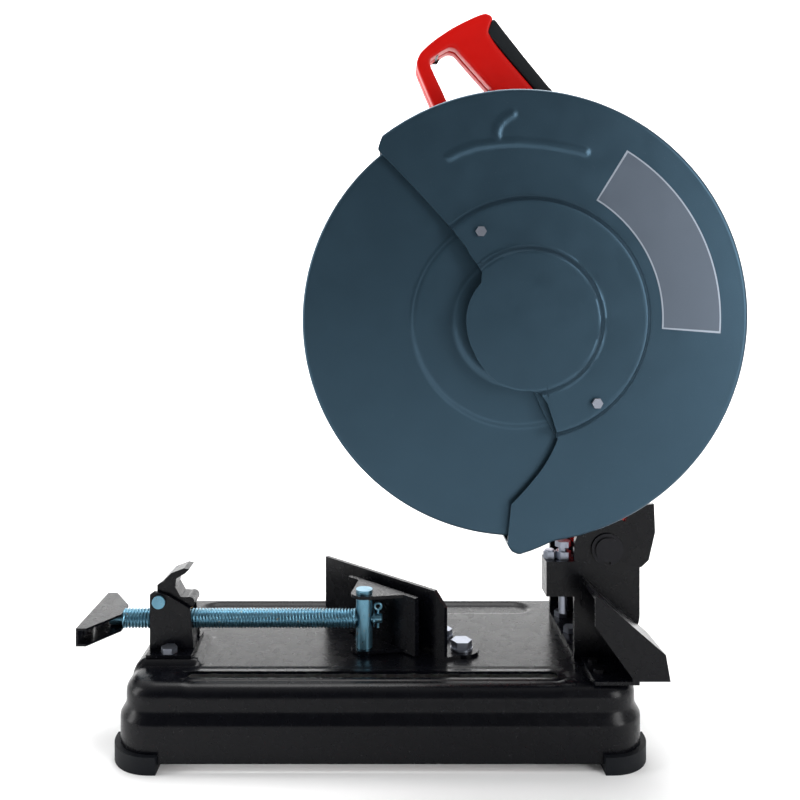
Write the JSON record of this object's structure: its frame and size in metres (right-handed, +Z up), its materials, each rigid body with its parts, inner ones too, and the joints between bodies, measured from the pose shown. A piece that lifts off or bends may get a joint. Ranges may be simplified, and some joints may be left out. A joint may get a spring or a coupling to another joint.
{
  "type": "abrasive chop saw",
  "caption": "Bench abrasive cut-off saw: tilting guarded wheel head with D handle, pressed tray base, angled fence and quick-release screw vise.",
  "frame": {"origin": "on the ground under the middle of the whole saw's plan", "axes": "+Z up, +X towards the hinge and spark hood end, +Y from the wheel side towards the motor side"},
  "size_m": [0.5836, 0.247, 0.6652],
  "materials": {
    "gloss_black_steel": "gloss black stove enamel on pressed steel",
    "guard_paint": "metallic blue-grey paint, satin",
    "red_plastic": "moulded red nylon, semi-gloss",
    "grip_rubber": "soft black overmould",
    "foot_rubber": "black moulded rubber",
    "zinc_steel": "blue-passivated zinc plate",
    "dark_steel": "black-oxide steel",
    "bearing_steel": "ground steel",
    "cast_aluminium": "sand-blasted die casting",
    "bronze": "sintered bronze",
    "abrasive": "resin-bonded corundum with glass mesh",
    "black_plastic": "glass-filled nylon, fine grain",
    "winding": "enamelled copper on stacked laminations",
    "gear_steel": "hobbed and hardened steel",
    "red_casting": "red enamel on a casting"
  },
  "bodies": {
    "base": {"base_tray": "gloss_black_steel", "foot_front_left": "foot_rubber", "foot_front_right": "foot_rubber", "foot_rear_left": "foot_rubber", "foot_rear_right": "foot_rubber", "hinge_bracket": "gloss_black_steel", "base_bolts": "zinc_steel", "hinge_shaft": "dark_steel", "shaft_rings": "dark_steel", "stop_bolts": "zinc_steel", "return_spring": "dark_steel", "spark_hood": "gloss_black_steel", "hood_screws": "dark_steel", "fence_bolts": "zinc_steel", "vise_bracket": "gloss_black_steel", "lever_pin": "zinc_steel"},
    "head": {"swing_arm": "red_casting", "arm_bushes": "bronze", "up_stop_plate": "gloss_black_steel", "arm_bolts": "zinc_steel", "gear_case": "cast_aluminium", "motor_housing": "red_plastic", "motor_end_cover": "black_plastic", "motor_screws": "dark_steel", "stator": "winding", "brush_holders": "bronze", "brush_caps": "black_plastic", "motor_bearings": "bearing_steel", "spindle_bearings": "bearing_steel", "cord_gland": "grip_rubber", "fixed_guard": "guard_paint", "guard_screws": "zinc_steel", "guard_spring": "bearing_steel", "guard_ring": "dark_steel", "cover_bolts": "zinc_steel", "handle_front": "red_plastic", "handle_back": "red_plastic", "handle_screws": "dark_steel", "grip_pad": "grip_rubber"},
    "spindle": {"spindle": "bearing_steel", "spindle_gear": "gear_steel", "inner_flange": "bearing_steel", "abrasive_wheel": "abrasive", "outer_flange": "bearing_steel", "arbor_bolt": "dark_steel"},
    "armature": {"armature": "winding", "cooling_fan": "black_plastic"},
    "moving_guard": {"moving_guard": "guard_paint"},
    "hub_cover": {"hub_cover": "guard_paint"},
    "trigger": {"trigger": "black_plastic"},
    "lock_off_button": {"lock_off_button": "black_plastic"},
    "shaft_lock": {"shaft_lock": "black_plastic"},
    "fence": {"fence": "gloss_black_steel"},
    "vise_slider": {"jaw_pin": "zinc_steel"},
    "vise_jaw": {"vise_jaw": "gloss_black_steel"},
    "vise_screw": {"vise_screw": "zinc_steel", "vise_handle": "gloss_black_steel", "screw_cotter": "zinc_steel"},
    "release_lever": {"release_lever": "gloss_black_steel", "half_nut": "bronze"}
  },
  "joints": [
    {"name": "head_tilt", "type": "hinge", "parent": "base", "child": "head", "pos_m": [0.18602, 0.0035, 0.1717], "axis": [0, -1, 0], "range_deg": [0, 48], "stiffness_Nm_per_rad": 24, "springref_deg": -40.11},
    {"name": "guard_lift", "type": "hinge", "parent": "head", "child": "moving_guard", "pos_m": [0.09618, -0.0865, 0.38234], "axis": [0, 1, 0], "range_deg": [0, 135]},
    {"name": "wheel_spin", "type": "hinge", "parent": "head", "child": "spindle", "pos_m": [0.09618, -0.082, 0.38234], "axis": [0, -1, 0], "continuous": true},
    {"name": "armature_spin", "type": "hinge", "parent": "head", "child": "armature", "pos_m": [0.08804, 0.0035, 0.4285], "axis": [0, -1, 0], "continuous": true},
    {"name": "cover_swing", "type": "hinge", "parent": "head", "child": "hub_cover", "pos_m": [0.15968, -0.1165, 0.31334], "axis": [0, 1, 0], "range_deg": [0, 70]},
    {"name": "trigger_pull", "type": "hinge", "parent": "head", "child": "trigger", "pos_m": [0.11904, -0.0325, 0.5605], "axis": [0, 1, 0], "range_deg": [0, 7], "stiffness_Nm_per_rad": 2, "springref_deg": -8.59},
    {"name": "lock_off_press", "type": "slide", "parent": "head", "child": "lock_off_button", "axis": [0, -1, 0], "range_m": [0, 0.003], "stiffness_N_per_m": 300, "springref_m": -0.002},
    {"name": "shaft_lock_press", "type": "slide", "parent": "head", "child": "shaft_lock", "axis": [0, -1, 0], "range_m": [0, 0.0055], "stiffness_N_per_m": 300, "springref_m": -0.003},
    {"name": "fence_angle", "type": "hinge", "parent": "base", "child": "fence", "pos_m": [0.05452, -0.033, 0.07], "axis": [0, 0, 1], "range_deg": [-45, 0]},
    {"name": "vise_slide", "type": "slide", "parent": "base", "child": "vise_slider", "axis": [1, 0, 0], "range_m": [-0.11, 0.0138]},
    {"name": "jaw_swivel", "type": "hinge", "parent": "vise_slider", "child": "vise_jaw", "pos_m": [-0.03678, -0.0315, 0.07], "axis": [0, 0, 1], "range_deg": [-45, 0]},
    {"name": "vise_turn", "type": "hinge", "parent": "vise_slider", "child": "vise_screw", "pos_m": [-0.03678, -0.0315, 0.101], "axis": [1, 0, 0], "continuous": true},
    {"name": "lever_lift", "type": "hinge", "parent": "base", "child": "release_lever", "pos_m": [-0.22588, -0.0315, 0.1217], "axis": [0, -1, 0], "range_deg": [0, 35], "stiffness_Nm_per_rad": 1, "springref_deg": -17.19}
  ],
  "couplings": [
    {"joint": "guard_lift", "follows": "head_tilt", "ratio": 2.8},
    {"joint": "armature_spin", "follows": "wheel_spin", "ratio": -4},
    {"joint": "jaw_swivel", "follows": "fence_angle", "ratio": 1}
  ]
}
